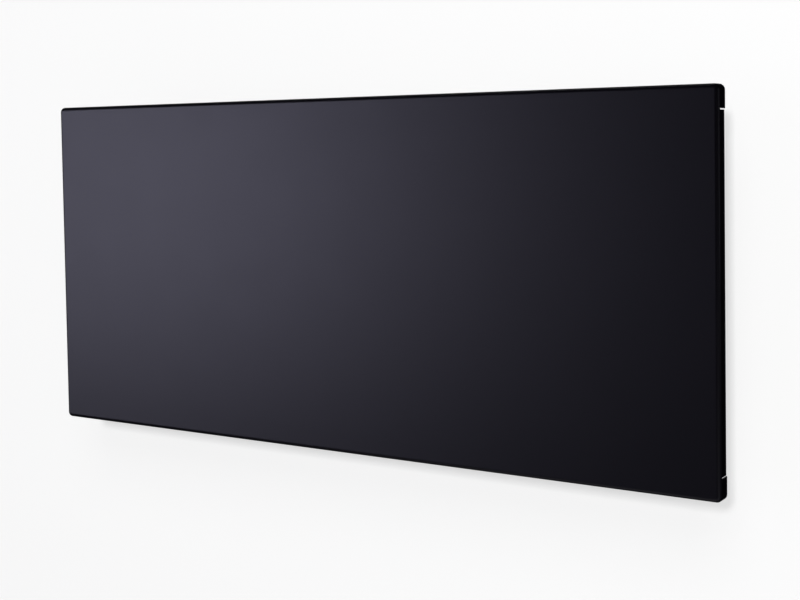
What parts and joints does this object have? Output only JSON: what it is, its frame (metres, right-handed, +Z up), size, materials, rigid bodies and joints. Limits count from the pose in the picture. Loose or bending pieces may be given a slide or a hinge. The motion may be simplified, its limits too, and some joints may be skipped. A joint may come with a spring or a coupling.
{
  "type": "electric panel heater",
  "caption": "Flat wall-hung electric panel heater: a pressed steel front, a vented casing with element and controls, and a hook-on wall bracket.",
  "frame": {"origin": "on the wall's face, at the middle of the bracket's four wall screws, which is also the middle of the heater's width and height", "axes": "+X to the right seen from the room, +Y into the wall, +Z up"},
  "size_m": [0.725, 0.084, 0.33],
  "materials": {
    "cover_paint": "satin black powder coat on pressed steel",
    "casing_paint": "matt black powder coat on folded steel",
    "cap_plastic": "fine-grained moulded black plastic",
    "control_plastic": "fine-grained moulded black plastic",
    "black_plastic": "plain moulded black plastic",
    "button_plastic": "dark grey moulded caps",
    "rocker_plastic": "glossy black rocker",
    "window_clear": "smoked clear pane",
    "display_face": "dark digit display",
    "galvanised_steel": "galvanised steel with a fine spangle",
    "spring_steel": "blued spring steel",
    "aluminised_steel": "aluminised steel sheet",
    "sheath_steel": "heat-tinted steel sheath",
    "core_steel": "laminated core steel",
    "zinc_steel": "zinc-plated screws",
    "rivet_steel": "plain steel rivets",
    "fin_aluminium": "bare aluminium",
    "brass": "machined brass",
    "ceramic": "white steatite ceramic",
    "cutout_body": "black phenolic disc with an aluminium cap",
    "board_laminate": "green circuit board laminate",
    "relay_case": "blue relay case",
    "winding_tape": "yellow winding tape",
    "capacitor_sleeve": "dark capacitor sleeve",
    "white_nylon": "natural nylon",
    "flag_sleeve": "red insulating sleeve",
    "lead_insulation": "red heat-proof silicone insulation",
    "mains_insulation": "mains wire insulation",
    "earth_insulation": "green and yellow insulation",
    "sensor_insulation": "thin black sensor lead",
    "ribbon_grey": "grey ribbon cable"
  },
  "bodies": {
    "wall_bracket": {"bracket_upright_left": "galvanised_steel", "bracket_upright_right": "galvanised_steel", "bracket_cross_rail": "galvanised_steel", "bracket_spring_clips": "spring_steel", "bracket_rivets": "rivet_steel"},
    "heater": {"front_cover": "cover_paint", "front_cover_rails": "casing_paint", "rear_casing": "casing_paint", "left_end_cap": "cap_plastic", "right_end_cap": "cap_plastic", "control_housing": "control_plastic", "rocker_housing": "black_plastic", "cable_gland_body": "black_plastic", "cable_gland_cap": "black_plastic", "cover_insulators": "ceramic", "cover_screws": "zinc_steel", "end_cap_screws": "zinc_steel", "casing_rivets": "rivet_steel", "back_heat_shield": "aluminised_steel", "front_heat_shield": "aluminised_steel", "element_rod": "sheath_steel", "element_fins": "fin_aluminium", "element_supports": "galvanised_steel", "element_bushes": "ceramic", "element_end_beads": "ceramic", "element_pins": "sheath_steel", "partition_plate": "galvanised_steel", "overheat_cutout": "cutout_body", "cutout_clip": "spring_steel", "control_board": "board_laminate", "board_pillars": "brass", "board_screws": "zinc_steel", "relay": "relay_case", "transformer_core": "core_steel", "transformer_winding": "winding_tape", "capacitors": "capacitor_sleeve", "heat_sink": "fin_aluminium", "power_chip": "black_plastic", "board_connectors": "white_nylon", "display_window": "window_clear", "display_module": "display_face", "key_board": "board_laminate", "key_switches": "black_plastic", "flag_terminals": "flag_sleeve", "cable_gland_nut": "black_plastic", "terminal_block": "white_nylon", "terminal_screws": "zinc_steel", "earth_stud": "brass", "earth_lug_washer_nut": "brass", "room_sensor": "black_plastic", "element_leads": "lead_insulation", "cutout_leads": "lead_insulation", "mains_wires": "mains_insulation", "earth_wire": "earth_insulation", "sensor_lead": "sensor_insulation", "display_ribbon": "ribbon_grey"},
    "button_down": {"button_down": "button_plastic"},
    "button_up": {"button_up": "button_plastic"},
    "button_mode": {"button_mode": "button_plastic"},
    "rocker": {"rocker": "rocker_plastic"}
  },
  "joints": [
    {"name": "lift_off", "type": "slide", "parent": "wall_bracket", "child": "heater", "axis": [0, 0, 1], "range_m": [0, 0.012]},
    {"name": "button_down_press", "type": "slide", "parent": "heater", "child": "button_down", "axis": [0, 0, -1], "range_m": [0, 0.0008], "stiffness_N_per_m": 1200},
    {"name": "button_up_press", "type": "slide", "parent": "heater", "child": "button_up", "axis": [0, 0, -1], "range_m": [0, 0.0008], "stiffness_N_per_m": 1200},
    {"name": "button_mode_press", "type": "slide", "parent": "heater", "child": "button_mode", "axis": [0, 0, -1], "range_m": [0, 0.0008], "stiffness_N_per_m": 1200},
    {"name": "rocker_tilt", "type": "hinge", "parent": "heater", "child": "rocker", "pos_m": [0.3372, -0.049, 0.1], "axis": [0, 0, -1], "range_deg": [0, 16]}
  ]
}
